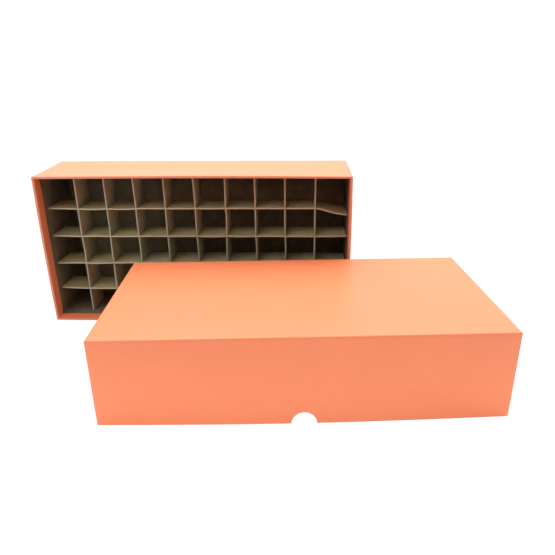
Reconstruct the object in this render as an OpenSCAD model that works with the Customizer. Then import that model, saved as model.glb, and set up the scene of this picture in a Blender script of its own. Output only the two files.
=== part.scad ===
// Cryogenic storage box: a rigid board base and a telescoping lid, both
// covered in coated paper, with a slotted-strip divider for upright tubes.
//
// The base stands on one long side with its opening towards -Y.  The lid lies
// flat in front of it, top up, turned a few degrees about +Z.
// The origin is the centre of the side the base rests on.  Millimetres.

/* [Base] */
// Outside length of the base, along X
base_length = 190; // [184:0.5:196]
// Outside width of the base, which is its height as it stands on its side
base_width = 94.5; // [92:0.5:97]
// Outside height of the base, from its bottom to its rim
base_height = 53; // [51:0.5:57]

/* [Lid] */
// Outside height of the lid, from its top to its rim
lid_height = 44.5; // [40:0.5:50]
// Running gap between the lid's inside and the base's outside, on each side
lid_clear = 0.25; // [0.2:0.05:0.5]
// Radius of the half-round thumb notch in each long wall of the lid
notch_radius = 6; // [4:0.5:8]

/* [Resting place of the lid] */
// Distance of the lid's centre to the right of the base's centre
lid_right = 64; // [40:0.5:80]
// Distance of the lid's centre in front of the base's rim
lid_front = 52.7; // [52.5:0.1:70]
// Turn of the lid, anticlockwise from above
lid_turn = 3.8; // [0:0.1:4.2]

/* [Board and paper] */
// Thickness of the grey-brown board
board_thick = 1.1; // [0.9:0.05:1.3]
// Thickness of the covering paper
paper_thick = 0.15; // [0.1:0.01:0.18]
// Thickness of the glue line under the paper and under the corner stays
glue_thick = 0.01; // [0.01:0.005:0.02]
// Outside radius of the folded corners
corner_radius = 0.7; // [0.5:0.05:0.8]
// Depth of the paper turned in over the rim of the base
base_turn_in = 7.6; // [6:0.2:10]
// Depth of the paper turned in over the rim of the lid
lid_turn_in = 12; // [8:0.5:20]
// Thickness of the paper stays that tie the board's corners
stay_thick = 0.1; // [0.08:0.01:0.12]
// Reach of each corner stay along the two walls it ties
stay_reach = 12; // [8:1:16]
// Open seam between two board walls that meet at a corner
seam = 0.12; // [0.1:0.02:0.2]

/* [Divider] */
// Thickness of each divider strip
strip_thick = 0.8; // [0.6:0.05:0.9]
// Height of each divider strip
strip_height = 20; // [18:0.5:24]
// How far the loose divider has slid from the floor of the base towards the rim
divider_out = 20; // [0:0.5:22]
// Gap on each side of a strip inside the slot that it crosses
slot_gap = 0.1; // [0.08:0.01:0.15]
// Slack of the whole divider across the width of the base
divider_slack = 0.8; // [0.4:0.1:1.6]
// Height of a cell as the box stands, row strip to row strip
row_pitch = 18; // [17.6:0.1:18.4]
// How much shorter the lowest row of cells is
end_short = 0.9; // [0:0.1:1.2]
// Downward bend of the loose right-hand end of the upper row strip
end_bend = 4; // [1:0.1:4.5]

/* [Hidden] */
$fn = 48;
COLUMNS = 9;
ROWS = 4;

// Trays: sizes are [length, width, height], drawn open side up
skin = paper_thick + glue_thick;
wall = 2 * skin + board_thick;           // finished wall, rim and lid alike
base_size = [base_length, base_width, base_height];
lid_size = [base_length + 2 * (lid_clear + wall),
            base_width + 2 * (lid_clear + wall),
            lid_height];
stay_inset = 2;                          // stay ends to the tray's bottom and rim

// The lid keeps clear of the base's mouth at every setting
mouth_gap = 0.5;
lid_out = max(lid_front,
              lid_size.y / 2 / cos(lid_turn)
              + (base_length / 2 - lid_right) * tan(lid_turn) + mouth_gap);

// Divider
run_gap = 0.1;                           // running gap of the divider
inside_length = base_length - 2 * wall;  // between the turned-in papers
inside_width = base_width - 2 * wall;
row_strip_length = inside_length - 2 * run_gap;
column_strip_length = inside_width - divider_slack;
column_pitch = inside_length / (COLUMNS + 1);
divider_bottom = wall + run_gap;
divider_back = base_height / 2 - skin - board_thick - run_gap - divider_out;
divider_front = divider_back - strip_height;
divider_middle = (divider_back + divider_front) / 2;
slot_width = strip_thick + 2 * slot_gap;
slot_over = 0.25;                        // each slot runs past the middle

// Overruns of the cutting bodies
cut = 20;
notch_over = 5;                          // past each long wall
seam_over_in = 0.1;                      // past the wall's inner face
seam_over_out = 1.1;                     // past the wall's outer face

function column_x(i) = -inside_length / 2 + i * column_pitch;
function row_z(j) = divider_bottom - end_short + (ROWS - j + 1) * row_pitch;

// ---- places ----------------------------------------------------------

// Puts a tray that was drawn open side up, floor on z = 0, in the base's place
module in_base_place()
    translate([0, base_height / 2, base_width / 2])
        rotate([90, 0, 0]) children();

// Puts such a tray, turned over, in the lid's place
module in_lid_place()
    translate([lid_right, -base_height / 2 - lid_out, lid_height])
        rotate([0, 0, lid_turn]) rotate([180, 0, 0]) children();

// ---- tray pieces -----------------------------------------------------

// Rectangle with round corners, made of true arcs
module round_rect(length, width, radius) {
    square([length - 2 * radius, width], center = true);
    square([length, width - 2 * radius], center = true);
    for (sx = [-1, 1], sy = [-1, 1])
        translate([sx * (length / 2 - radius), sy * (width / 2 - radius)])
            circle(r = radius);
}

// Half-round bite out of both long walls, at the rim; none at radius 0
module thumb_bite(size, radius)
    if (radius > 0)
        translate([0, 0, size.z]) rotate([90, 0, 0])
            cylinder(r = radius, h = size.y + 2 * notch_over, center = true);

// The L-shaped place of one corner stay, at the corner on the sides sx and sy;
// grow makes the recess for it
module stay_place(size, sx, sy, grow) {
    length = size.x - 2 * skin;
    width = size.y - 2 * skin;
    radius = corner_radius - skin;
    thick = stay_thick + grow;
    reach = stay_reach + grow;
    intersection() {
        translate([0, 0, stay_inset - grow])
            linear_extrude(size.z - 2 * stay_inset + 2 * grow)
                difference() {
                    round_rect(length + 2 * grow, width + 2 * grow, radius + grow);
                    round_rect(length - 2 * thick, width - 2 * thick, radius - thick);
                }
        translate([sx * (length / 2 - reach / 2 + cut / 2),
                   sy * (width / 2 - reach / 2 + cut / 2),
                   size.z / 2])
            cube([reach + cut, reach + cut, size.z], center = true);
    }
}

// Board tray: one scored sheet with its four walls folded up.  The long walls
// run the full length and the short walls stand between them.
module tray_board(size, bite = 0) {
    length = size.x - 2 * skin;
    width = size.y - 2 * skin;
    floor_top = skin + board_thick;
    difference() {
        translate([0, 0, skin]) linear_extrude(size.z - 2 * skin)
            round_rect(length, width, corner_radius - skin);
        translate([0, 0, floor_top]) linear_extrude(size.z)
            square([length - 2 * board_thick, width - 2 * board_thick],
                   center = true);
        for (sx = [-1, 1], sy = [-1, 1]) {
            translate([sx * (length + seam_over_out - seam_over_in - board_thick) / 2
                       + sx * 0,
                       sy * (width / 2 - board_thick - seam / 2),
                       floor_top + size.z / 2])
                cube([board_thick + seam_over_in + seam_over_out, seam, size.z],
                     center = true);
            stay_place(size, sx, sy, glue_thick);
        }
        thumb_bite(size, bite);
    }
}

// Covering paper: over the outside, round the rim and down the inside
module tray_wrap(size, turn_in, bite = 0) {
    inner_length = size.x - 2 * wall;
    inner_width = size.y - 2 * wall;
    difference() {
        linear_extrude(size.z) round_rect(size.x, size.y, corner_radius);
        // room for the board, less the paper turned in over the rim
        difference() {
            translate([0, 0, paper_thick]) linear_extrude(size.z - 2 * paper_thick)
                round_rect(size.x - 2 * paper_thick, size.y - 2 * paper_thick,
                           corner_radius - paper_thick);
            translate([0, 0, size.z - turn_in]) linear_extrude(turn_in)
                square([inner_length + 2 * paper_thick,
                        inner_width + 2 * paper_thick], center = true);
        }
        translate([0, 0, paper_thick]) linear_extrude(size.z)
            square([inner_length, inner_width], center = true);
        thumb_bite(size, bite);
    }
}

// Corner stay k; seen into the open tray they run clockwise from -X, +Y
module tray_stay(size, k) {
    sx = (k == 1 || k == 4) ? -1 : 1;
    sy = (k <= 2) ? 1 : -1;
    stay_place(size, sx, sy, 0);
}

// ---- divider strips --------------------------------------------------

// Column strip i, from the left; its slots open towards the base's floor
module column_strip(i)
    color("peru") difference() {
        translate([column_x(i) - strip_thick / 2, divider_front, divider_bottom])
            cube([strip_thick, strip_height, column_strip_length]);
        for (j = [1 : ROWS])
            translate([column_x(i) - cut / 2, divider_middle - slot_over,
                       row_z(j) - slot_width / 2])
                cube([cut, strip_height, slot_width]);
    }

// Bent end of a row strip.  Each step is [place between the last column strip
// and the end, share of the bend], both from 0 to 1
TAIL = [[0.12, 0], [0.25, 0.2], [0.45, 0.52], [0.7, 0.8], [1, 1]];

// Edge of a row strip: straight, or with its right-hand end bent down
module row_profile(z, bend) {
    x_left = -row_strip_length / 2;
    x_last = column_x(COLUMNS);
    span = row_strip_length / 2 - x_last;
    half = strip_thick / 2;
    tail = bend > 0 ? TAIL : [[1, 0]];
    polygon(concat(
        [[x_left, z - half]],
        [for (step = tail)
            [x_last + step[0] * span, z - half - step[1] * bend]],
        [for (k = [len(tail) - 1 : -1 : 0])
            [x_last + tail[k][0] * span, z + half - tail[k][1] * bend]],
        [[x_left, z + half]]));
}

// Row strip j, from the top; its slots open towards the rim
module row_strip(j, bend = 0)
    color("tan") difference() {
        translate([0, divider_back, 0]) rotate([90, 0, 0])
            linear_extrude(strip_height) row_profile(row_z(j), bend);
        for (i = [1 : COLUMNS])
            translate([column_x(i) - slot_width / 2, divider_front - cut,
                       row_z(j) - cut / 2])
                cube([slot_width, cut + strip_height / 2 + slot_over, cut]);
    }

// ---- base and lid pieces in place ------------------------------------

module base_board()
    color("rosybrown") in_base_place() tray_board(base_size);
module base_wrap()
    color("coral") in_base_place() tray_wrap(base_size, base_turn_in);
module base_corner_stay(k)
    color("wheat") in_base_place() tray_stay(base_size, k);

module lid_board()
    color("rosybrown") in_lid_place() tray_board(lid_size, notch_radius);
module lid_wrap()
    color("coral") in_lid_place() tray_wrap(lid_size, lid_turn_in, notch_radius);
module lid_corner_stay(k)
    color("wheat") in_lid_place() tray_stay(lid_size, k);

base_board();
base_wrap();
base_corner_stay(1);  // base_corner_stay_1
base_corner_stay(2);  // base_corner_stay_2
base_corner_stay(3);  // base_corner_stay_3
base_corner_stay(4);  // base_corner_stay_4
row_strip(1, end_bend);  // row_strip_1
row_strip(2);  // row_strip_2
row_strip(3);  // row_strip_3
row_strip(4);  // row_strip_4
column_strip(1);  // column_strip_1
column_strip(2);  // column_strip_2
column_strip(3);  // column_strip_3
column_strip(4);  // column_strip_4
column_strip(5);  // column_strip_5
column_strip(6);  // column_strip_6
column_strip(7);  // column_strip_7
column_strip(8);  // column_strip_8
column_strip(9);  // column_strip_9
lid_board();
lid_wrap();
lid_corner_stay(1);  // lid_corner_stay_1
lid_corner_stay(2);  // lid_corner_stay_2
lid_corner_stay(3);  // lid_corner_stay_3
lid_corner_stay(4);  // lid_corner_stay_4
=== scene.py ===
# A two-part box of paper-covered board with a slotted divider, modelled in millimetres.
# The base stands on a long wall, its open side facing -y, and holds the divider: nine
# upright columns crossed by four level rows.  The lid lies beside it with its rim down,
# turned a little about z.  Left is -x, front is -y.
import math
import random
from collections import namedtuple

import bmesh
import bpy
import numpy as np
from mathutils import Matrix, Vector, noise


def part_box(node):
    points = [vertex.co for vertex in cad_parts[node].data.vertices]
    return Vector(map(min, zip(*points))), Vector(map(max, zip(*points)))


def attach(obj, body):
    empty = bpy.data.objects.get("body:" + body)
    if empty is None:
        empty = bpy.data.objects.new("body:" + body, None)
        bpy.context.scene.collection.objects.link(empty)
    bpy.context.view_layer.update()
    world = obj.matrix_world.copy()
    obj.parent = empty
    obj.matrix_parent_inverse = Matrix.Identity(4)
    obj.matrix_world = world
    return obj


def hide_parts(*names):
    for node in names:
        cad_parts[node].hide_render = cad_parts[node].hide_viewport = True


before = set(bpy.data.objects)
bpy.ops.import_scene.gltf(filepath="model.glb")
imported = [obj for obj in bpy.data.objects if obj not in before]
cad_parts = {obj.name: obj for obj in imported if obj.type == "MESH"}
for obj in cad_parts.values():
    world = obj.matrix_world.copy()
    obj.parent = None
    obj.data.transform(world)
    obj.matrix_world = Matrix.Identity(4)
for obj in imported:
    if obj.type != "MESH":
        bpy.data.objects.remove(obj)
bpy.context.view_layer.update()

MM = 0.001


def cad_box(node):
    lo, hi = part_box(node)
    return np.array(lo) / MM, np.array(hi) / MM


# ---------------------------------------------------------------- sizes, mm
PAPER, GLUE, BOARD = 0.15, 0.01, 1.1
SKIN = PAPER + GLUE
WALL = 2 * SKIN + BOARD
CORNER_R = 0.7
RIM_R = 0.36                    # the covering's fold over the rim
SHARP_ANGLE = 32.0              # degrees
STAY_SHARP_ANGLE = 40.0

# Trays: W long side, D short side, H floor to rim.
lo, hi = cad_box("base_wrap")
BASE_W, BASE_H, BASE_D = hi - lo
BASE_TURN_IN = 7.6              # how far the covering reaches down inside
LID_TURN_IN = 12.0
LID_CLEAR = 0.25
LID_W = BASE_W + 2 * (LID_CLEAR + WALL)
LID_D = BASE_D + 2 * (LID_CLEAR + WALL)
lo, hi = cad_box("lid_wrap")
LID_H = hi[2] - lo[2]
LID_X, LID_Y = (lo[0] + hi[0]) / 2, (lo[1] + hi[1]) / 2
NOTCH_R = 6.0
NOTCH_OVERSHOOT = 6.0           # cutter length beyond each long wall


def lid_angle(box_width):
    """Newton's method on: box width = LID_W cos + LID_D sin."""
    angle = 0.0
    for _ in range(60):
        error = LID_W * math.cos(angle) + LID_D * math.sin(angle) - box_width
        angle -= error / (-LID_W * math.sin(angle) + LID_D * math.cos(angle))
    return angle


LID_TURN = lid_angle(hi[0] - lo[0])
LID_COS, LID_SIN = math.cos(LID_TURN), math.sin(LID_TURN)

# Divider
ROW_TOP_TO_MIDDLE = 0.4
COLUMN_X = []
for i in range(1, 10):
    lo, hi = cad_box("column_strip_%d" % i)
    COLUMN_X.append((lo[0] + hi[0]) / 2)
ROW_Z = [cad_box("row_strip_%d" % j)[1][2] - ROW_TOP_TO_MIDDLE for j in range(1, 5)]
lo, hi = cad_box("column_strip_1")
STRIP_T = hi[0] - lo[0]
Y_FRONT, Y_BACK = lo[1], hi[1]
Y_MID = (Y_FRONT + Y_BACK) / 2
Z_LOW, Z_HIGH = lo[2], hi[2]
lo, hi = cad_box("row_strip_2")
X_LEFT, X_RIGHT = lo[0], hi[0]
lo, hi = cad_box("row_strip_1")
TAIL_DROP = (hi[2] - lo[2]) - STRIP_T   # how far row 1's loose end hangs
SLOT = STRIP_T + 0.2
SLOT_EXTRA = 0.25               # slots run this far past the middle


def smooth_step(start, end, x):
    t = np.clip((np.asarray(x, float) - start) / (end - start), 0, 1)
    return t * t * (3 - 2 * t)


# ---------------------------------------------------------------- mesh help
def add_object(name, data):
    ob = bpy.data.objects.new(name, data)
    bpy.context.scene.collection.objects.link(ob)
    return ob


def make_mesh(name, points, faces, weld=True):
    """Mesh from points in mm, normals outward."""
    mesh = bpy.data.meshes.new(name)
    mesh.from_pydata([tuple(p * MM) for p in points], [], faces)
    bm = bmesh.new()
    bm.from_mesh(mesh)
    if weld:
        bmesh.ops.remove_doubles(bm, verts=bm.verts, dist=1e-6)
        bmesh.ops.dissolve_degenerate(bm, dist=1e-7, edges=bm.edges)
    bmesh.ops.recalc_face_normals(bm, faces=bm.faces)
    bm.to_mesh(mesh)
    bm.free()
    return mesh


def mark_sharp(ob, degrees):
    bm = bmesh.new()
    bm.from_mesh(ob.data)
    limit = math.radians(degrees)
    for face in bm.faces:
        face.smooth = True
    for edge in bm.edges:
        edge.smooth = not (len(edge.link_faces) == 2 and edge.calc_face_angle(0) > limit)
    bm.to_mesh(ob.data)
    bm.free()
    ob.data.update()


def add_piece(name, mesh, material, body, node, sharp=SHARP_ANGLE):
    ob = add_object(name, mesh)
    mesh.materials.append(material)
    mark_sharp(ob, sharp)
    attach(ob, body)
    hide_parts(node)
    return ob


def cut_away(ob, cutter):
    """Subtract the cutter and weld the slivers it leaves."""
    modifier = ob.modifiers.new("cut", "BOOLEAN")
    modifier.operation = "DIFFERENCE"
    modifier.solver = "EXACT"
    modifier.object = cutter
    depsgraph = bpy.context.evaluated_depsgraph_get()
    bpy.context.view_layer.update()
    mesh = bpy.data.meshes.new_from_object(ob.evaluated_get(depsgraph))
    bm = bmesh.new()
    bm.from_mesh(mesh)
    bmesh.ops.remove_doubles(bm, verts=bm.verts, dist=4e-6)
    bmesh.ops.dissolve_degenerate(bm, dist=4e-6, edges=bm.edges)
    bm.to_mesh(mesh)
    bm.free()
    old = ob.data
    ob.modifiers.clear()
    ob.data = mesh
    bpy.data.meshes.remove(old)


# ---------------------------------------------------------------- tray lofts
# A tray is drawn open side up: floor on z = 0, long walls at y = +-D/2.
# Points along a wall are fractions, -1 to 1, of its straight part.
SEAM = 1 - 2 * 13.0 / 93.0      # lap seam: 13 mm in from each end of a 93 mm short wall
SEAM_STEP = 0.0016              # half the fraction over which the lap steps
LONG_T = np.linspace(-1, 1, 113)
SHORT_T = np.array(sorted(set(
    list(np.round(np.linspace(-1, 1, 57), 5))
    + [side * SEAM + step for side in (1, -1) for step in (-SEAM_STEP, SEAM_STEP)])))
CORNER_STEPS = 6
CORNERS = ((1, 1), (-1, 1), (-1, -1), (1, -1))
WALL_STEPS = 26
TURN_IN_STEPS = 8


def ring(half_w, half_d, radius):
    """Round rectangle, anticlockwise from the right wall's -y end."""
    radius = max(radius, 0.0)
    flat_w, flat_d = half_w - radius, half_d - radius
    sides = (
        [(half_w, t * flat_d) for t in SHORT_T],
        [(-t * flat_w, half_d) for t in LONG_T],
        [(-half_w, -t * flat_d) for t in SHORT_T],
        [(t * flat_w, -half_d) for t in LONG_T],
    )
    points = []
    for k, (side, (sx, sy)) in enumerate(zip(sides, CORNERS)):
        points += side
        for step in range(1, CORNER_STEPS):
            angle = k * math.pi / 2 + step / CORNER_STEPS * math.pi / 2
            points.append((sx * flat_w + radius * math.cos(angle),
                           sy * flat_d + radius * math.sin(angle)))
    return np.array(points)


def tray_loft(width, depth, stations, edge_shift=None):
    """Loft of closed rings; the first and last are closed by gridded floors.
    Stations: (inset, z, corner radius, share of edge_shift added to z)."""
    rings = []
    for inset, z, radius, share in stations:
        outline = ring(width / 2 - inset, depth / 2 - inset, radius)
        heights = np.full(len(outline), z)
        if share:
            heights = heights + share * edge_shift(outline)
        rings.append(np.column_stack([outline, heights]))
    n = len(rings[0])
    points = list(np.vstack(rings))
    faces = []
    for k in range(len(rings) - 1):
        a, b = k * n, (k + 1) * n
        for i in range(n):
            j = (i + 1) % n
            faces.append((a + i, a + j, b + j, b + i))
    nx = len(LONG_T)
    for station, flip in ((stations[0], True), (stations[-1], False)):
        inset, z = station[:2]
        first = len(points)
        for y in SHORT_T * (depth / 2 - inset):
            for x in LONG_T * (width / 2 - inset):
                points.append(np.array([x, y, z]))
        for row in range(len(SHORT_T) - 1):
            for col in range(nx - 1):
                a = first + row * nx + col
                quad = (a, a + 1, a + nx + 1, a + nx)
                faces.append(quad[::-1] if flip else quad)
    return np.array(points), faces


def levels(start, end, steps):
    return list(np.linspace(start, end, steps + 1))


def arc(step, steps, start=0.0):
    """Sine and cosine part-way round a quarter turn."""
    angle = start + step / steps * math.pi / 2
    return math.sin(angle), math.cos(angle)


def covering_stations(height, turn_in):
    outer_r, rim_r = CORNER_R, RIM_R
    rim_z, end_z = height - RIM_R, height - turn_in
    tight_r = 0.2                           # least corner radius at the rim
    hidden_r = 0.25                         # the same on the hidden side
    out = [(outer_r, 0.0, 0.0, 0)]
    for a in range(1, 7):                   # floor edge
        sin, cos = arc(a, 6)
        inset = outer_r * (1 - sin)
        out.append((inset, outer_r * (1 - cos), outer_r - inset, 0))
    for z in levels(outer_r, rim_z, WALL_STEPS)[1:]:
        out.append((0.0, z, outer_r, 0))
    for a in range(1, 6):                   # over the rim
        sin, cos = arc(a, 5)
        inset = rim_r * (1 - cos)
        out.append((inset, rim_z + rim_r * sin, max(outer_r - inset, tight_r), 0))
    for a in range(0, 6):
        sin, cos = arc(a, 5, start=math.pi / 2)
        out.append((WALL - rim_r - rim_r * cos, rim_z + rim_r * sin, tight_r, 0))
    for k, z in enumerate(levels(rim_z, end_z, TURN_IN_STEPS)[1:], 1):
        out.append((WALL, z, tight_r, k / TURN_IN_STEPS))
    # cut end, then the paper's hidden side back round the rim
    out.append((WALL - PAPER * 0.5, end_z - PAPER * 0.3, 0.22, 1.0))
    for k, z in enumerate(levels(end_z, rim_z, TURN_IN_STEPS)):
        out.append((WALL - PAPER, z, hidden_r, 1 - k / TURN_IN_STEPS))
    rim_r -= PAPER
    for a in range(1, 5):
        sin, cos = arc(a, 4)
        out.append((WALL - PAPER - rim_r * (1 - cos), rim_z + rim_r * sin, hidden_r, 0))
    for a in range(0, 5):
        sin, cos = arc(a, 4)
        inset = PAPER + rim_r * (1 - sin)
        out.append((inset, rim_z + rim_r * cos, max(outer_r - inset, tight_r), 0))
    inner_r = outer_r - PAPER
    for z in levels(rim_z, outer_r, WALL_STEPS)[1:]:
        out.append((PAPER, z, inner_r, 0))
    for a in range(5, -1, -1):
        sin, cos = arc(a, 6)
        inset = outer_r - inner_r * sin
        out.append((inset, outer_r - inner_r * cos, outer_r - inset, 0))
    return out


def board_stations(height):
    radius = CORNER_R - SKIN
    soft = 0.12                             # softened cut edge of the board
    inside = SKIN + BOARD
    fold_r = 0.25                           # inside the scored fold
    inner_r = 0.03
    top = height - SKIN
    out = [(SKIN + radius, SKIN, 0.0, 0)]
    for a in range(1, 5):
        sin, cos = arc(a, 4)
        inset = SKIN + radius * (1 - sin)
        out.append((inset, SKIN + radius * (1 - cos), SKIN + radius - inset, 0))
    for z in levels(SKIN + radius, top - soft, WALL_STEPS)[1:]:
        out.append((SKIN, z, radius, 0))
    out += [
        (SKIN + soft * 0.3, top - soft * 0.3, radius - soft * 0.3, 0),
        (SKIN + soft, top, radius - soft, 0),
        (inside - soft, top, 0.05, 0),
        (inside - soft * 0.3, top - soft * 0.3, 0.04, 0),
    ]
    for z in levels(top - soft, inside + fold_r, WALL_STEPS):
        out.append((inside, z, inner_r, 0))
    for a in range(1, 4):
        sin, cos = arc(a, 3)
        out.append((inside + fold_r * (1 - cos), inside + fold_r * (1 - sin),
                    inner_r * (1 - a / 3), 0))
    return out


# ---------------------------------------------------------------- tray shapes
def lean_out(P, width, depth, height, long_lean, short_lean, power, lower=1.0):
    """Open walls lean out between their corners; lower scales the -y wall's lean."""
    P = P.copy()
    rise = np.clip(P[:, 2] / height, 0, 1) ** power
    near_long = np.clip(np.abs(P[:, 1]) / (depth / 2), 0, 1) ** 6
    near_short = np.clip(np.abs(P[:, 0]) / (width / 2), 0, 1) ** 12
    mid_x = np.cos(np.pi * np.clip(P[:, 0] / width, -0.5, 0.5))
    mid_y = np.cos(np.pi * np.clip(P[:, 1] / depth, -0.5, 0.5))
    lean = np.where(P[:, 1] > 0, long_lean, long_lean * lower)
    P[:, 1] += np.sign(P[:, 1]) * lean * near_long * mid_x * rise
    P[:, 0] += np.sign(P[:, 0]) * short_lean * near_short * mid_y * rise
    return P


def lap_step(P, width, depth):
    """The short walls' covering laps over the flaps from the long walls."""
    P = P.copy()
    lap_height = 0.1
    edge = SEAM * (depth / 2 - CORNER_R)
    on_lap = (np.abs(P[:, 0]) > width / 2 - 0.02) & (np.abs(P[:, 1]) <= edge + 1e-3)
    fade = smooth_step(1.0, 2.5, P[:, 2])
    P[:, 0] += np.where(on_lap, np.sign(P[:, 0]) * lap_height * fade, 0)
    return P


def base_warp(P):
    # the lower long wall stays flat on the floor
    P = lean_out(P, BASE_W, BASE_D, BASE_H, long_lean=0.45, short_lean=0.35,
                 power=1.6, lower=0.0)
    # the upper left corner of the closed side is pushed out of square
    push, reach, mid_band = 4.2, 45, 12
    left = np.clip((-P[:, 0] - (BASE_W / 2 - reach)) / reach, 0, 1) ** 1.5
    high = np.clip((P[:, 1] - mid_band) / (BASE_D / 2 - mid_band), 0, 1) ** 1.4
    closed = np.clip(1 - P[:, 2] / (0.92 * BASE_H), 0, 1) ** 1.3
    P[:, 0] -= push * left * high * closed
    return P


def lid_warp(P):
    return lean_out(P, LID_W, LID_D, LID_H, long_lean=2.0, short_lean=0.7, power=1.5)


def base_place(P):
    return np.column_stack([P[:, 0], BASE_H / 2 - P[:, 2], BASE_D / 2 + P[:, 1]])


def base_unplace(P):
    return np.column_stack([P[:, 0], P[:, 2] - BASE_D / 2, BASE_H / 2 - P[:, 1]])


def lid_place(P):
    x, y, z = P[:, 0], -P[:, 1], -P[:, 2]
    return np.column_stack([LID_X + LID_COS * x - LID_SIN * y,
                            LID_Y + LID_SIN * x + LID_COS * y, LID_H + z])


def lid_unplace(P):
    x, y = P[:, 0] - LID_X, P[:, 1] - LID_Y
    return np.column_stack([LID_COS * x + LID_SIN * y,
                            -(-LID_SIN * x + LID_COS * y), LID_H - P[:, 2]])


def turn_in_edge(seed, width, depth):
    """Wavy end of the turned-in paper, lifted towards the rim in the corners."""
    wave, corner_lift, lift_reach, corner_inset = 0.5, 1.5, 3.0, 1.2

    def shift(outline):
        out = []
        for x, y in outline:
            n = noise.noise(Vector((x * 0.06 + seed, y * 0.06, seed * 3.1)))
            n += 0.4 * noise.noise(Vector((x * 0.23, y * 0.23 + seed, seed)))
            from_corner = math.hypot(min(0, abs(x) - width / 2 + corner_inset),
                                     min(0, abs(y) - depth / 2 + corner_inset))
            out.append(wave * n + corner_lift * math.exp(-(from_corner / lift_reach) ** 2))
        return np.array(out)
    return shift


# ---------------------------------------------------------------- materials
class Graph:
    """Short names for building a node tree; coordinates in mm."""

    def __init__(self, tree, output):
        self.tree = tree
        tree.nodes.clear()
        self.surface = self.node(output).inputs[0]
        self.coords = self.node("TexCoord").outputs

    def node(self, kind):
        return self.tree.nodes.new("ShaderNode" + kind)

    def link(self, value, socket):
        """Connect a socket, or set a plain value."""
        if isinstance(value, bpy.types.NodeSocket):
            self.tree.links.new(value, socket)
        else:
            socket.default_value = value

    def vector_math(self, operation, a, b):
        n = self.node("VectorMath")
        n.operation = operation
        self.link(a, n.inputs[0])
        self.link(b, n.inputs[1])
        return n.outputs[0]

    def math(self, operation, a, b=0.0):
        n = self.node("Math")
        n.operation = operation
        for value, socket in zip((a, b, 0.0), n.inputs):
            self.link(value, socket)
        return n.outputs[0]

    def add(self, a, b):
        return self.math("ADD", a, b)

    def multiply(self, a, b):
        return self.math("MULTIPLY", a, b)

    def scaled(self, x, y, z):
        return self.vector_math("MULTIPLY", self.position, (x, y, z))

    def noise(self, scale=1.0, detail=3.0, rough=0.55, vector=None, distortion=0.0):
        n = self.node("TexNoise")
        self.link(vector if vector is not None else self.position, n.inputs["Vector"])
        n.inputs["Scale"].default_value = scale
        n.inputs["Detail"].default_value = detail
        n.inputs["Roughness"].default_value = rough
        n.inputs["Distortion"].default_value = distortion
        return n.outputs[0]

    def ramp(self, value, start, end, low=0.0, high=1.0):
        """Smooth step from low at start to high at end."""
        n = self.node("MapRange")
        n.interpolation_type = "SMOOTHSTEP"
        for socket, v in zip(n.inputs, (value, start, end, low, high)):
            self.link(v, socket)
        return n.outputs[0]

    def mix(self, factor, a, b, mode="MIX"):
        n = self.node("Mix")
        n.data_type = "RGBA"
        n.blend_type = mode
        self.link(factor, n.inputs[0])
        for colour, socket in ((a, n.inputs[6]), (b, n.inputs[7])):    # RGBA sockets
            self.link(colour + (1.0,) if isinstance(colour, tuple) else colour, socket)
        return n.outputs[2]

    def tinted(self, colour, tone):
        return self.mix(1.0, colour, self.grey(tone), "MULTIPLY")

    def grey(self, value):
        n = self.node("CombineColor")
        for k in range(3):
            self.link(value, n.inputs[k])
        return n.outputs[0]

    def bump(self, height, strength, distance, normal=None):
        n = self.node("Bump")
        n.inputs["Strength"].default_value = strength
        n.inputs["Distance"].default_value = distance * MM
        self.link(height, n.inputs["Height"])
        if normal is not None:
            self.link(normal, n.inputs["Normal"])
        return n.outputs[0]

    def axis(self, vector, k):
        n = self.node("SeparateXYZ")
        self.link(vector, n.inputs[0])
        return n.outputs[k]


def new_material(name):
    """Material, its graph and the inputs of its Principled shader."""
    material = bpy.data.materials.new(name)
    material.use_nodes = True
    g = Graph(material.node_tree, "OutputMaterial")
    g.position = g.vector_math("MULTIPLY", g.coords["Object"], (1000, 1000, 1000))
    shader = g.node("BsdfPrincipled")
    g.link(shader.outputs[0], g.surface)
    return material, g, shader.inputs


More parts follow.
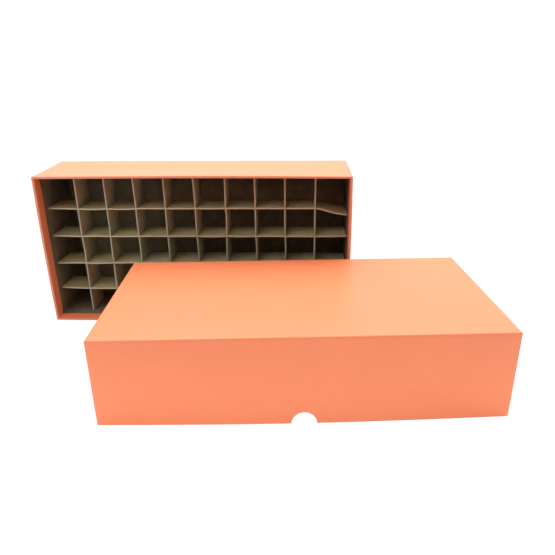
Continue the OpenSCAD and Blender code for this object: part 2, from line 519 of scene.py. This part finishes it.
def cover_paper(part):
    """Orange coated paper over board: faint cloudiness, fine fibres, edges
    rubbed a little paler where the board folds; the rim partly worn, partly painted shade."""
    paper, worn_edge = (0.915, 0.250, 0.106), (0.93, 0.44, 0.27)
    # rim colour, darker and duller than the paper: partly rubbed wear, partly painted shade
    rim_wear_and_shade, scuffed = (0.67, 0.262, 0.172), (0.95, 0.42, 0.25)
    material, g, shader = new_material("cover_paper_" + part)
    cloud = g.noise(scale=0.035, detail=3.0, rough=0.5)
    fine = g.noise(scale=1.7, detail=5.0, rough=0.65)
    fibre = g.noise(detail=4.0, rough=0.6, vector=g.scaled(0.9, 5.5, 5.5), distortion=0.6)
    # share of each texture in the tone, over a base level
    tone = g.add(g.multiply(cloud, 0.06),
                 g.multiply(g.ramp(fine, start=0.34, end=0.66), 0.05))
    tone = g.add(tone, g.multiply(g.ramp(fibre, start=0.56, end=0.74), 0.05))
    colour = g.tinted(paper, g.add(tone, 0.925))
    # wear on outward edges, at most 0.55
    worn = g.ramp(g.node("NewGeometry").outputs["Pointiness"], start=0.53, end=0.62)
    rub = g.ramp(g.noise(scale=0.55, detail=4.0, rough=0.7), start=0.38, end=0.66)
    worn = g.multiply(g.multiply(worn, rub), 0.55)
    colour = g.mix(worn, colour, worn_edge)
    # the fold round the rim is painted darker and duller all the way round: partly rubbed
    # wear, partly painted shade on the base's rim edge and along the lid's foot on the
    # floor
    if part == "base":
        rim = g.ramp(g.axis(g.position, 1), start=-25.0, end=-25.7)
    else:
        rim = g.ramp(g.axis(g.position, 2), start=1.2, end=0.4, high=0.45)
    rim = g.multiply(rim, g.ramp(rub, start=0.0, end=1.0, low=0.55, high=0.95))
    colour = g.mix(rim, colour, rim_wear_and_shade)
    scuff = g.noise(scale=0.16, detail=6.0, rough=0.72, vector=g.scaled(1.0, 0.35, 1.0))
    scuff = g.multiply(g.ramp(scuff, start=0.70, end=0.80), 0.10)
    g.link(g.mix(scuff, colour, scuffed), shader["Base Color"])
    # roughness: 0.38, more in the grain and where worn
    rough = g.add(g.multiply(fine, 0.16), 0.38)
    g.link(g.add(rough, g.multiply(worn, 0.25)), shader["Roughness"])
    shader["Specular IOR Level"].default_value = 0.42
    normal = g.bump(fibre, strength=0.18, distance=0.04)
    board = g.noise(scale=0.11, detail=2.0, rough=0.5)     # board showing through
    normal = g.bump(board, strength=0.10, distance=0.5, normal=normal)
    normal = g.bump(fine, strength=0.30, distance=0.05, normal=normal)
    g.link(normal, shader["Normal"])
    return material


def chipboard(name, dark, mid, light, grain, cut=None, axis=0):
    """Recycled board: long fibres, dark and pale flecks.  With cut given, faces
    whose normal lies in the sheet (away from axis) get the cut-edge colour."""
    material, g, shader = new_material(name)
    along = g.scaled(*grain)
    fibre = g.noise(detail=6.0, rough=0.66, vector=along, distortion=0.8)
    blotch = g.noise(scale=0.12, detail=3.0, rough=0.5)
    fine = g.noise(scale=5.5, detail=3.0, rough=0.6)
    # fibre and blotch shares add up to 1
    blend = g.add(g.multiply(fibre, 0.62), g.multiply(blotch, 0.38))
    colour = g.mix(g.ramp(blend, start=0.36, end=0.64), dark, mid)
    fleck = g.noise(scale=1.6, detail=2.0, rough=0.5,
                    vector=g.vector_math("ADD", along, (31.0, 7.0, 3.0)))
    fleck = g.multiply(g.ramp(fleck, start=0.62, end=0.72), 0.70)
    colour = g.mix(fleck, colour, light)
    spot = g.noise(scale=1.3, detail=1.0, rough=0.5,
                   vector=g.vector_math("ADD", along, (5.0, 19.0, 71.0)))
    spot = g.multiply(g.ramp(spot, start=0.66, end=0.74), 0.6)
    colour = g.mix(spot, colour, tuple(c * 0.45 for c in dark))
    if cut is not None:
        facing = g.math("ABSOLUTE", g.axis(g.coords["Normal"], axis))
        fuzz = g.ramp(g.noise(scale=2.6, detail=5.0, rough=0.75),
                      start=0.30, end=0.68, low=0.72, high=1.12)
        colour = g.mix(g.ramp(facing, start=0.75, end=0.35), colour, g.tinted(cut, fuzz))
    g.link(colour, shader["Base Color"])
    shader["Roughness"].default_value = 0.88
    shader["Specular IOR Level"].default_value = 0.25
    normal = g.bump(fibre, strength=0.35, distance=0.06)
    normal = g.bump(fine, strength=0.40, distance=0.05, normal=normal)
    g.link(normal, shader["Normal"])
    return material


def stay_paper():
    """Brown paper with fibres and darker lines along z."""
    pale, brown, dark_line = (0.55, 0.40, 0.23), (0.40, 0.27, 0.14), (0.33, 0.21, 0.10)
    material, g, shader = new_material("stay_paper")
    fibre = g.noise(detail=5.0, rough=0.6, vector=g.scaled(5.0, 5.0, 0.7), distortion=0.5)
    line = g.noise(detail=2.0, rough=0.5, vector=g.scaled(7.0, 7.0, 0.12))
    colour = g.mix(g.ramp(fibre, start=0.3, end=0.7), brown, pale)
    line = g.multiply(g.ramp(line, start=0.4, end=0.65), 0.3)
    g.link(g.mix(line, colour, dark_line), shader["Base Color"])
    shader["Roughness"].default_value = 0.7
    g.link(g.bump(fibre, strength=0.3, distance=0.03), shader["Normal"])
    return material


COVER = {"base": cover_paper("base"), "lid": cover_paper("lid")}
TRAY_BOARD = chipboard(
    "board", dark=(0.134, 0.106, 0.068), mid=(0.212, 0.173, 0.114),
    light=(0.315, 0.268, 0.183), grain=(0.9, 4.2, 4.2))
# Rows and columns are the same board in two tints: the rows painted lighter and yellower as
# painted top light on their upper faces, the columns greyer as painted front light on their
# sides.
ROW_BOARD_TOP_LIT = chipboard(
    "divider_board_rows_top_lit", dark=(0.395, 0.328, 0.178), mid=(0.565, 0.478, 0.260),
    light=(0.67, 0.585, 0.365), grain=(0.8, 4.5, 4.5), cut=(0.54, 0.48, 0.325), axis=2)
COLUMN_BOARD_SIDE_LIT = chipboard(
    "divider_board_columns", dark=(0.320, 0.288, 0.190), mid=(0.456, 0.418, 0.280),
    light=(0.60, 0.54, 0.375), grain=(4.5, 4.5, 0.8), cut=(0.45, 0.40, 0.275), axis=0)
STAY_PAPER = stay_paper()

# ---------------------------------------------------------------- the two trays
Tray = namedtuple("Tray", "name width depth height turn_in warp place unplace seed")
BASE = Tray("base", BASE_W, BASE_D, BASE_H, BASE_TURN_IN,
            base_warp, base_place, base_unplace, seed=1.7)
LID = Tray("lid", LID_W, LID_D, LID_H, LID_TURN_IN,
           lid_warp, lid_place, lid_unplace, seed=5.3)


def build_tray(tray):
    name, width, depth = tray.name, tray.width, tray.depth
    P, faces = tray_loft(width, depth, covering_stations(tray.height, tray.turn_in),
                         turn_in_edge(tray.seed, width, depth))
    P = tray.place(tray.warp(lap_step(P, width, depth)))
    covering = add_piece(name + "_covering", make_mesh(name + "_covering", P, faces),
                         COVER[name], name, name + "_wrap")
    P, faces = tray_loft(width, depth, board_stations(tray.height))
    P = tray.place(tray.warp(P))
    board = add_piece(name + "_tray_board", make_mesh(name + "_tray_board", P, faces),
                      TRAY_BOARD, name, name + "_board")
    return covering, board


def notch_cutter(sides=72):
    """Cylinder across the lid at the rim, through the middle of both long walls."""
    reach = LID_D / 2 + NOTCH_OVERSHOOT
    points = []
    for y in (-reach, reach):
        for k in range(sides):
            angle = 2 * math.pi * k / sides
            points.append((NOTCH_R * math.cos(angle), y, LID_H + NOTCH_R * math.sin(angle)))
    faces = []
    for k in range(sides):
        j = (k + 1) % sides
        faces.append((k, j, sides + j, sides + k))
    faces.append(tuple(range(sides))[::-1])
    faces.append(tuple(range(sides, 2 * sides)))
    mesh = make_mesh("cutter", lid_place(np.array(points)), faces, weld=False)
    return add_object("cutter", mesh)


def build_stay(tray, number):
    """Corner tape: the CAD piece, refined so that it can follow the tray's warp."""
    longest_edge = 0.003
    node = "%s_corner_stay_%d" % (tray.name, number)
    bm = bmesh.new()
    bm.from_mesh(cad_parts[node].data)
    bmesh.ops.remove_doubles(bm, verts=bm.verts, dist=1e-6)
    for _ in range(4):
        long_edges = [e for e in bm.edges if e.calc_length() > longest_edge]
        if long_edges:
            bmesh.ops.subdivide_edges(bm, edges=long_edges, cuts=1, use_grid_fill=True)
    bmesh.ops.triangulate(bm, faces=[f for f in bm.faces if len(f.verts) > 4])
    P = np.array([v.co for v in bm.verts], float) / MM
    for vert, point in zip(bm.verts, tray.place(tray.warp(tray.unplace(P)))):
        vert.co = Vector(point * MM)
    bmesh.ops.recalc_face_normals(bm, faces=bm.faces)
    mesh = bpy.data.meshes.new(node + "_tape")
    bm.to_mesh(mesh)
    bm.free()
    add_piece(node + "_tape", mesh, STAY_PAPER, tray.name, node,
              sharp=STAY_SHARP_ANGLE)


build_tray(BASE)
lid_pieces = build_tray(LID)
cutter = notch_cutter()
for piece in lid_pieces:
    cut_away(piece, cutter)
    mark_sharp(piece, SHARP_ANGLE)
bpy.data.objects.remove(cutter)
for number in range(1, 5):
    build_stay(BASE, number)
    build_stay(LID, number)

# ---------------------------------------------------------------- divider
# A strip is drawn flat: u along it, v from front to back, w through it.
GRID_U, GRID_V = 1.15, 1.6      # grid steps
# Drift of the loose divider: sideways at the ends and columns, and vertical.
DRIFT_X_AT = [X_LEFT] + COLUMN_X + [X_RIGHT]
DRIFT_X = [0.0, 0.25, -0.05, -0.35, -0.5, -0.5, -0.35, -0.65, -0.95, -1.15, 0.0]
DRIFT_Z_AT = [X_LEFT, -75, -40, 20, X_RIGHT]
DRIFT_Z = [-0.5, -0.8, -0.6, -0.35, -0.25]
# Row 1's sag: fraction of the way from column 9 to the end, fraction of TAIL_DROP.
TAIL_AT = [0, 0.12, 0.36, 0.56, 0.75, 1.0]
TAIL_SAG = [0, 0.03, 0.38, 0.66, 0.84, 1.0]


def slotted_plate(us, vs, is_slot, half):
    """Plate on a grid, without the cells whose middle is in a slot."""
    nu, nv = len(us), len(vs)
    keep = np.array([[not is_slot((us[a] + us[a + 1]) / 2, (vs[b] + vs[b + 1]) / 2)
                      for b in range(nv - 1)] for a in range(nu - 1)])
    points = [(u, v, w) for w in (half, -half) for u in us for v in vs]
    under = nu * nv
    faces = []
    for a in range(nu - 1):
        for b in range(nv - 1):
            if not keep[a, b]:
                continue
            k = a * nv + b
            quad = (k, k + nv, k + nv + 1, k + 1)
            faces.append(quad)
            faces.append(tuple(i + under for i in quad[::-1]))
            # a side face wherever the neighbouring cell is missing
            for side, (da, db) in enumerate(((0, -1), (1, 0), (0, 1), (-1, 0))):
                i, j = quad[side], quad[(side + 1) % 4]
                aa, bb = a + da, b + db
                if not (0 <= aa < nu - 1 and 0 <= bb < nv - 1) or not keep[aa, bb]:
                    faces.append((i, i + under, j + under, j))
    used = sorted({i for face in faces for i in face})
    new_index = {i: k for k, i in enumerate(used)}
    return (np.array([points[i] for i in used]),
            [tuple(new_index[i] for i in face) for face in faces])


def grid_line(start, end, step, marks):
    """Nearly even grid that also has a line at every mark."""
    stops = sorted(set([start, end] + [round(m, 6) for m in marks]))
    out = [stops[0]]
    for a, b in zip(stops, stops[1:]):
        n = max(1, int(round((b - a) / step)))
        out += [a + (b - a) * k / n for k in range(1, n + 1)]
    return out


def round_edges(points, faces, half):
    """Small break on the die-cut edges."""
    bm = bmesh.new()
    verts = [bm.verts.new(p) for p in points]
    for face in faces:
        bm.faces.new([verts[i] for i in face])
    bmesh.ops.recalc_face_normals(bm, faces=bm.faces)
    edges = [e for e in bm.edges
             if len(e.link_faces) == 2 and e.calc_face_angle(0) > 1.0
             and abs(abs(e.verts[0].co.z) - half) < 1e-6
             and abs(e.verts[0].co.z - e.verts[1].co.z) < 1e-6]
    bmesh.ops.bevel(bm, geom=edges, offset=0.10, segments=2, profile=0.6, affect="EDGES",
                    clamp_overlap=True)
    bmesh.ops.remove_doubles(bm, verts=bm.verts, dist=1e-4)
    bm.verts.ensure_lookup_table()
    bm.verts.index_update()
    points = np.array([v.co for v in bm.verts], float)
    faces = [tuple(v.index for v in f.verts) for f in bm.faces]
    bm.free()
    return points, faces


def bulge(u, depth, crossings, seed, size):
    """Out-of-plane waviness that is nothing where two strips cross."""
    rng = random.Random(seed)
    fade = 0.55 + 0.45 * (1 - depth)        # strongest at the open front
    out = np.zeros(len(u))
    for a, b in zip(crossings, crossings[1:]):
        height = rng.uniform(-size, size)
        skew = rng.uniform(-0.5, 0.5)
        f = np.clip((u - a) / (b - a), 0, 1)
        shape = np.sin(np.pi * f) * (1 + skew * np.cos(np.pi * f))
        out += np.where((u >= a) & (u <= b), height * shape * fade, 0)
    return out


def ragged(u, seed, size=0.06):
    return np.array([size * noise.noise(Vector((q * 0.9, seed * 3.7, 0.3)))
                     + size * 0.6 * noise.noise(Vector((q * 2.7, seed, 4.1))) for q in u])


def strip(start, end, crossings, open_side, bulge_seed, bulge_size, ragged_seed):
    """Strip with slots open to the back (open_side 1) or the front (-1).
    Returns u, v, offset from its middle plane, and faces."""
    slot_end = Y_MID - open_side * SLOT_EXTRA

    def is_slot(u, v):
        return (open_side * (v - slot_end) > 0
                and any(abs(u - c) < SLOT / 2 for c in crossings))

    marks = [c + s * SLOT / 2 for c in crossings for s in (-1, 1)]
    us = grid_line(start, end, GRID_U, marks)
    vs = grid_line(Y_FRONT, Y_BACK, GRID_V, [slot_end])
    points, faces = slotted_plate(us, vs, is_slot, STRIP_T / 2)
    points, faces = round_edges(points, faces, STRIP_T / 2)
    u, v, w = points.T
    depth = (v - Y_FRONT) / (Y_BACK - Y_FRONT)
    offset = w + bulge(u, depth, sorted(crossings), bulge_seed, bulge_size)
    front = np.exp(-((v - Y_FRONT) / 0.5) ** 2)
    return u, v + front * np.abs(ragged(u, ragged_seed)), offset, faces


def end_bend(u, crossing, end, power):
    """0 up to the last crossing, rising to 1 at the strip's free end."""
    return np.clip((u - crossing) / (end - crossing), 0, 1) ** power


def divider_drift(P):
    P = P.copy()
    x, z = P[:, 0], P[:, 2]
    P[:, 2] += np.interp(x, DRIFT_Z_AT, DRIFT_Z) * smooth_step(1.0, 14.0, z)
    P[:, 0] += np.interp(x, DRIFT_X_AT, DRIFT_X)
    return P


def build_column(i):
    u, v, offset, faces = strip(Z_LOW, Z_HIGH, ROW_Z, open_side=1, bulge_seed=100 + i,
                                bulge_size=0.34, ragged_seed=10 + i)
    rng = random.Random(500 + i)
    top = rng.uniform(-0.7, 0.5)
    bottom = rng.uniform(-0.3, 0.3)
    offset += top * end_bend(u, max(ROW_Z), Z_HIGH, power=1.5)
    offset += bottom * end_bend(u, min(ROW_Z), Z_LOW, power=1.5)
    P = divider_drift(np.column_stack([np.full(len(u), COLUMN_X[i - 1]), v, u]))
    P[:, 0] += offset
    node = "column_strip_%d" % i
    add_piece(node + "_board", make_mesh(node + "_board", P, faces), COLUMN_BOARD_SIDE_LIT,
              "divider_columns", node)


def build_row(j):
    u, v, offset, faces = strip(X_LEFT, X_RIGHT, COLUMN_X, open_side=-1,
                                bulge_seed=200 + j, bulge_size=0.30, ragged_seed=40 + j)
    rng = random.Random(700 + j)
    left = rng.uniform(-0.6, 0.4)
    right = rng.uniform(-0.6, 0.4)
    offset += left * end_bend(u, COLUMN_X[0], X_LEFT, power=1.4)
    if j == 1:                              # its loose right-hand end sags
        along = end_bend(u, COLUMN_X[-1], X_RIGHT, power=1)
        offset -= TAIL_DROP * np.interp(along, TAIL_AT, TAIL_SAG)
    else:
        offset += right * end_bend(u, COLUMN_X[-1], X_RIGHT, power=1.4)
    P = divider_drift(np.column_stack([u, v, np.full(len(u), ROW_Z[j - 1])]))
    P[:, 2] += offset
    node = "row_strip_%d" % j
    add_piece(node + "_board", make_mesh(node + "_board", P, faces), ROW_BOARD_TOP_LIT,
              "divider_rows", node)


for i in range(1, 10):
    build_column(i)
for j in range(1, 5):
    build_row(j)

# ---------------------------------------------------------------- stage
SKY, BACK_GLOW = 0.385, 0.96    # world light all round, and added low at the back
WORLD_SEEN = 1.2                # world brightness to the camera
BOUNCE = 0.58                   # glow of the floor in front of the base
FLOOR_SEEN = 1.08               # floor brightness to the camera
FLOOR_WASH = 0.88               # its share; the rest shows the shadows


def floor_white():
    material, g, shader = new_material("floor_white")
    x, y = g.axis(g.position, 0), g.axis(g.position, 1)
    # painted falloff of light: the white sheet's colour darkens towards the front, for less
    # bounce from there
    reach = g.ramp(y, start=-560.0, end=-330.0, low=0.25, high=0.90)
    tint = g.ramp(g.noise(scale=0.02, detail=3.0, rough=0.5),
                  start=0.3, end=0.7, low=0.985, high=1.0)
    g.link(g.grey(g.multiply(reach, tint)), shader["Base Color"])
    shader["Roughness"].default_value = 0.7
    shader["Specular IOR Level"].default_value = 0.2
    # a glowing band across the floor, weaker to the right
    band = g.multiply(g.ramp(y, start=-235.0, end=-160.0),
                      g.ramp(y, start=-100.0, end=-125.0))
    band = g.multiply(band, g.ramp(x, start=60.0, end=200.0, low=1.03, high=0.80))
    glow = g.node("Emission")
    g.link(g.multiply(band, BOUNCE), glow.inputs[1])
    lit = g.node("AddShader")
    g.link(g.surface.links[0].from_socket, lit.inputs[0])
    g.link(glow.outputs[0], lit.inputs[1])
    # overexposed to the camera: only a trace of the shadows is left
    seen = g.node("Emission")
    seen.inputs[1].default_value = FLOOR_SEEN
    camera_ray = g.node("LightPath").outputs["Is Camera Ray"]
    mix = g.node("MixShader")
    g.link(g.multiply(camera_ray, FLOOR_WASH), mix.inputs[0])
    g.link(lit.outputs[0], mix.inputs[1])
    g.link(seen.outputs[0], mix.inputs[2])
    g.link(mix.outputs[0], g.surface)
    return material


def build_floor():
    bm = bmesh.new()
    bmesh.ops.create_grid(bm, x_segments=8, y_segments=8, size=3.0)
    mesh = bpy.data.meshes.new("floor")
    bm.to_mesh(mesh)
    bm.free()
    floor = add_object("floor", mesh)
    floor.location.z = -0.0001
    mesh.materials.append(floor_white())


def build_world():
    world = bpy.data.worlds.new("studio")
    bpy.context.scene.world = world
    world.use_nodes = True
    g = Graph(world.node_tree, "OutputWorld")
    direction = g.coords["Generated"]
    behind = g.ramp(g.axis(direction, 1), start=0.05, end=0.60)
    low_down = g.ramp(g.axis(direction, 2), start=0.70, end=0.40)
    glow = g.multiply(g.multiply(behind, low_down), BACK_GLOW)
    mix = g.node("MixShader")
    g.link(g.node("LightPath").outputs["Is Camera Ray"], mix.inputs[0])
    for k, strength in ((1, g.add(glow, SKY)), (2, WORLD_SEEN)):
        background = g.node("Background")
        background.inputs[0].default_value = (1, 1, 1, 1)
        g.link(strength, background.inputs[1])
        g.link(background.outputs[0], mix.inputs[k])
    g.link(mix.outputs[0], g.surface)


def add_softbox(name, location, target, size, power):
    light = bpy.data.lights.new(name, "AREA")
    light.shape = "RECTANGLE"
    light.size, light.size_y = size
    light.energy = power
    ob = add_object(name, light)
    ob.location = location
    aim = Vector(target) - Vector(location)
    ob.rotation_euler = aim.to_track_quat("-Z", "Y").to_euler()
    ob.visible_camera = False


def add_camera(position, yaw, pitch, roll, lens):
    """Position in mm, angles in degrees; yaw turns right from +y, pitch is down."""
    data = bpy.data.cameras.new("camera")
    data.sensor_width = 36.0
    data.lens = lens
    data.clip_start, data.clip_end = 0.01, 20.0
    camera = add_object("camera", data)
    yaw, pitch, roll = (math.radians(a) for a in (yaw, pitch, roll))
    forward = Vector((math.sin(yaw) * math.cos(pitch), math.cos(yaw) * math.cos(pitch),
                      -math.sin(pitch)))
    level = Vector((math.cos(yaw), -math.sin(yaw), 0))
    down = forward.cross(level)
    right = level * math.cos(roll) + down * math.sin(roll)
    down = -level * math.sin(roll) + down * math.cos(roll)
    matrix = Matrix((right, -down, -forward)).transposed().to_4x4()
    matrix.translation = Vector(position) * MM
    camera.matrix_world = matrix
    bpy.context.scene.camera = camera


build_floor()
build_world()
add_softbox("softbox_top", location=(0.085, 0.105, 0.51), target=(0.04, -0.02, 0.0),
            size=(0.8, 0.45), power=4.95)
add_softbox("softbox_front", location=(-0.24, -0.38, 0.46), target=(0.0, -0.06, 0.03),
            size=(0.5, 0.30), power=1.0)
add_camera(position=(65.29, -308.55 - BASE_H / 2, 157.05),
           yaw=-2.71, pitch=22.16, roll=0.63, lens=34.626811)

view = bpy.context.scene.view_settings
view.view_transform = "Standard"
view.look = "None"
view.exposure = 0.0
view.gamma = 1.0
